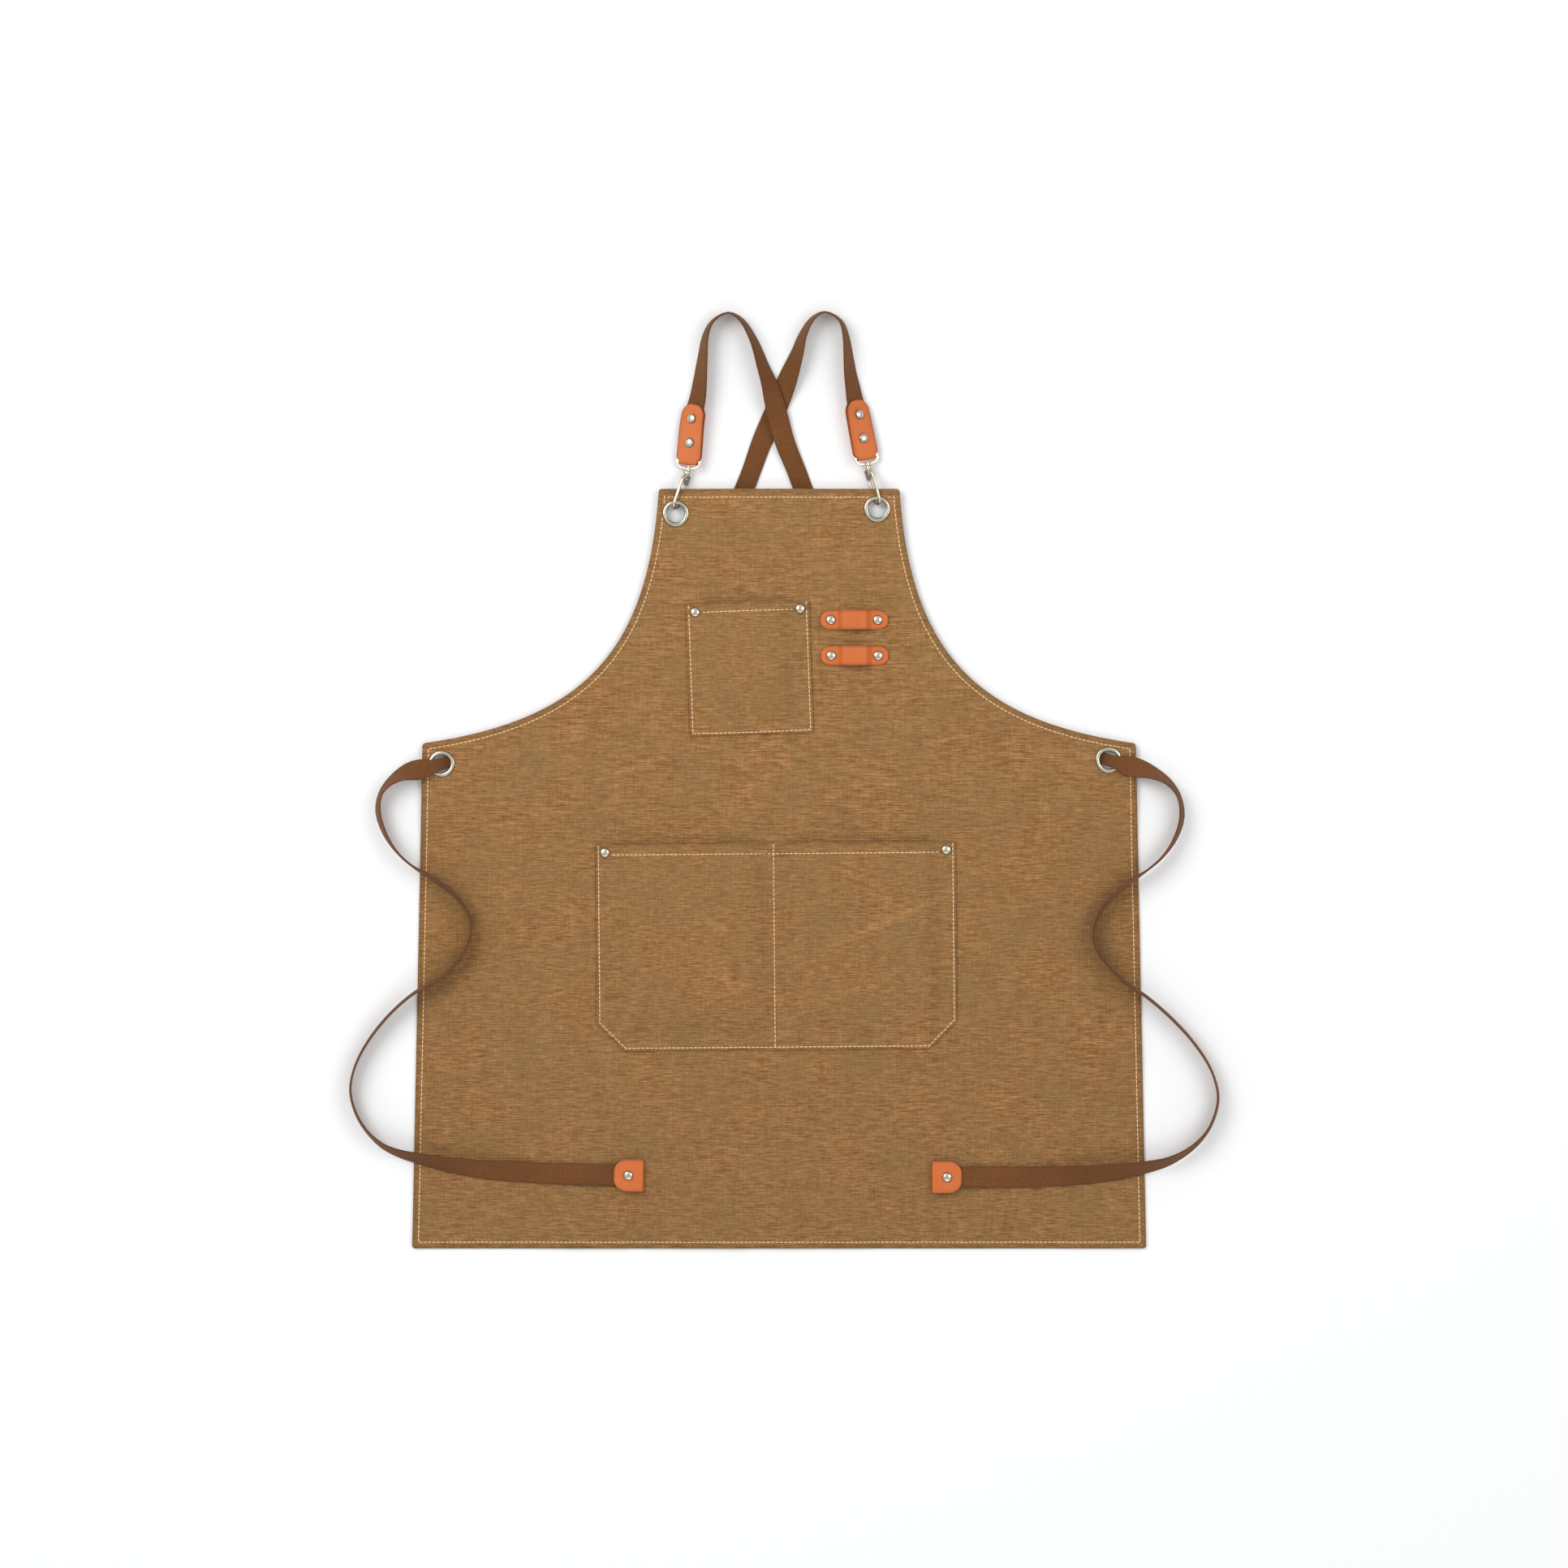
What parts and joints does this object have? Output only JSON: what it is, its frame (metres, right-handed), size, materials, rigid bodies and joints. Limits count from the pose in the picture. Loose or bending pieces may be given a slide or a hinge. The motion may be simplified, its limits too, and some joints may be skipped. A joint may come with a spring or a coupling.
{
  "type": "butcher apron",
  "caption": "Canvas bib apron laid flat, with patch pockets, leather tool loops, eyelets, snap hooks and crossed webbing straps that run through the side eyelets as waist ties.",
  "frame": {"origin": "middle of the bottom hem's underside, on the surface that the apron lies on", "axes": "+X to the right as seen from above, +Y from the bottom hem towards the bib, +Z out of the front of the cloth"},
  "size_m": [0.8291, 0.8931, 0.0233],
  "materials": {
    "canvas": "washed cotton canvas, slubbed plain weave",
    "webbing": "woven cotton webbing",
    "leather": "orange tan leather, smooth",
    "nickel": "bright nickel plate",
    "dark_steel": "darker plated spring steel"
  },
  "bodies": {
    "root": {"apron_body": "canvas", "bail_left": "nickel", "bail_right": "nickel", "burr_chest_left": "nickel", "burr_chest_right": "nickel", "burr_loop_lower_left": "nickel", "burr_loop_lower_right": "nickel", "burr_loop_upper_left": "nickel", "burr_loop_upper_right": "nickel", "burr_lower_left": "nickel", "burr_lower_right": "nickel", "burr_tab_left_1": "nickel", "burr_tab_left_2": "nickel", "burr_tab_right_1": "nickel", "burr_tab_right_2": "nickel", "burr_tip_left": "nickel", "burr_tip_right": "nickel", "chest_pocket": "canvas", "grommet_side_left": "nickel", "grommet_side_right": "nickel", "grommet_top_left": "nickel", "grommet_top_right": "nickel", "lower_pocket": "canvas", "rivet_chest_left": "nickel", "rivet_chest_right": "nickel", "rivet_loop_lower_left": "nickel", "rivet_loop_lower_right": "nickel", "rivet_loop_upper_left": "nickel", "rivet_loop_upper_right": "nickel", "rivet_lower_left": "nickel", "rivet_lower_right": "nickel", "rivet_tab_left_1": "nickel", "rivet_tab_left_2": "nickel", "rivet_tab_right_1": "nickel", "rivet_tab_right_2": "nickel", "rivet_tip_left": "nickel", "rivet_tip_right": "nickel", "shoulder_tab_left": "leather", "shoulder_tab_right": "leather", "strap_from_left": "webbing", "strap_from_right": "webbing", "strap_tip_left": "leather", "strap_tip_right": "leather", "tool_loop_lower": "leather", "tool_loop_upper": "leather", "washer_side_left": "nickel", "washer_side_right": "nickel", "washer_top_left": "nickel", "washer_top_right": "nickel"},
    "hook_left_body": {"hook_left": "nickel", "gate_pin_left": "dark_steel", "gate_spring_left": "dark_steel"},
    "gate_left_body": {"gate_left": "dark_steel"},
    "hook_right_body": {"hook_right": "nickel", "gate_pin_right": "dark_steel", "gate_spring_right": "dark_steel"},
    "gate_right_body": {"gate_right": "dark_steel"}
  },
  "joints": [
    {"name": "swivel_left", "type": "hinge", "parent": "root", "child": "hook_left_body", "pos_m": [-0.0869, 0.73804, 0.00708], "axis": [-0.3175, -0.9483, 0], "range_deg": [-8, 8]},
    {"name": "gate_opens_left", "type": "hinge", "parent": "hook_left_body", "child": "gate_left_body", "pos_m": [-0.08767, 0.73176, 0.00437], "axis": [-0.8594, 0.2877, -0.4226], "range_deg": [0, 40], "stiffness_Nm_per_rad": 0.004, "springref_deg": -20.05},
    {"name": "swivel_right", "type": "hinge", "parent": "root", "child": "hook_right_body", "pos_m": [0.0843, 0.74291, 0.0071], "axis": [0.2588, -0.9659, 0], "range_deg": [-8, 8]},
    {"name": "gate_opens_right", "type": "hinge", "parent": "hook_right_body", "child": "gate_right_body", "pos_m": [0.08468, 0.7366, 0.00438], "axis": [-0.8754, -0.2345, 0.4226], "range_deg": [0, 40], "stiffness_Nm_per_rad": 0.004, "springref_deg": -20.05}
  ]
}
